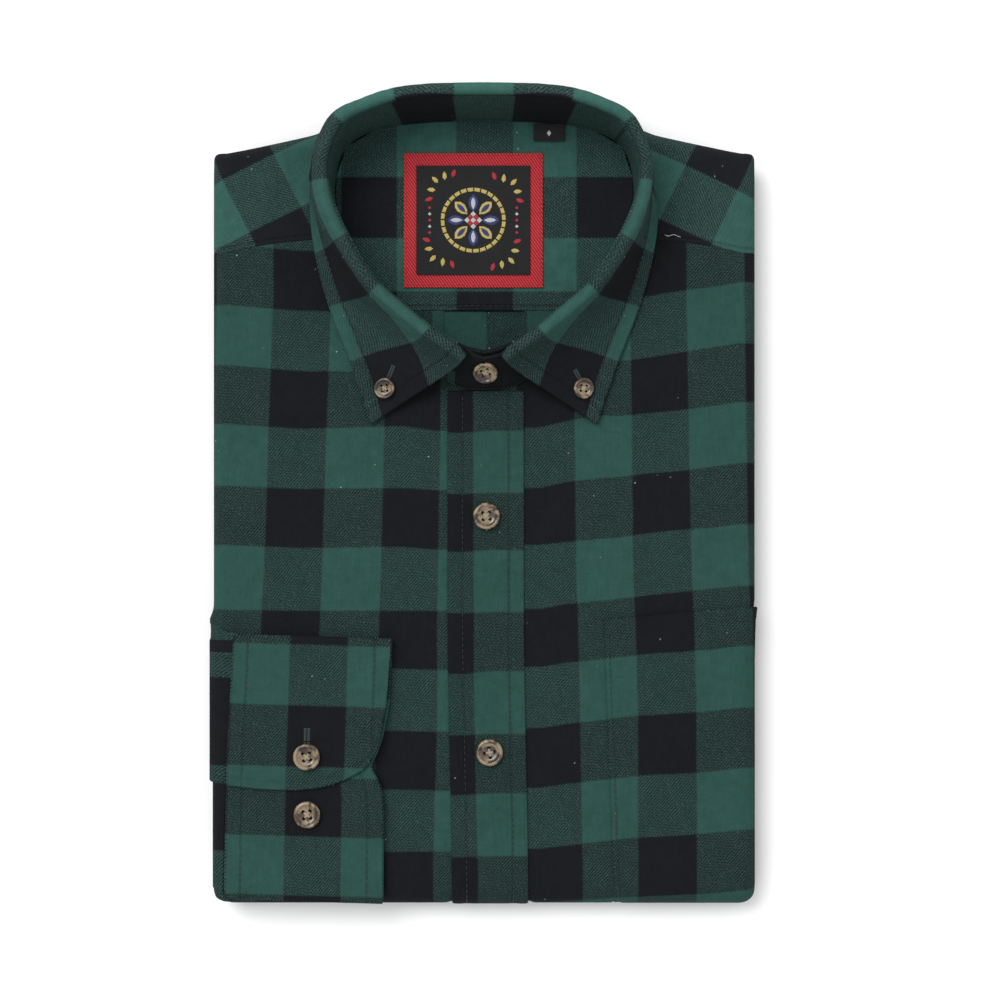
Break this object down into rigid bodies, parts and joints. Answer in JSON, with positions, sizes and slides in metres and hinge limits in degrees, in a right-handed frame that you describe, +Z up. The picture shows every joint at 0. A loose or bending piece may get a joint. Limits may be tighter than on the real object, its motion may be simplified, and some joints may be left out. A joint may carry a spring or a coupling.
{
  "type": "folded shirt",
  "caption": "Check flannel shirt folded for a shelf, lying on its back with button-down collar, placket, cuff and chest pocket showing.",
  "frame": {"origin": "middle of the outline, on the surface the shirt lies on", "axes": "+X towards the wearer's left side, +Y from the bottom fold to the collar, +Z up"},
  "size_m": [0.2384, 0.3558, 0.0479],
  "materials": {
    "flannel": "brushed cotton twill in a green and black check",
    "horn": "brown and cream horn effect, polished",
    "label_red": "woven satin ribbon",
    "label_black": "woven damask"
  },
  "bodies": {
    "root": {"front_right": "flannel", "front_left": "flannel", "yoke_outer": "flannel", "placket": "flannel", "pocket": "flannel", "yoke_inner": "flannel", "back": "flannel", "folded_layers": "flannel", "collar_stand": "flannel", "collar_leaf": "flannel", "cuff": "flannel", "sleeve": "flannel", "button_band": "horn", "button_collar_right": "horn", "button_collar_left": "horn", "button_front_1": "horn", "button_front_2": "horn", "button_cuff_1": "horn", "button_cuff_2": "horn", "label_border": "label_red", "label_field": "label_black", "size_tab": "label_black"}
  },
  "joints": []
}
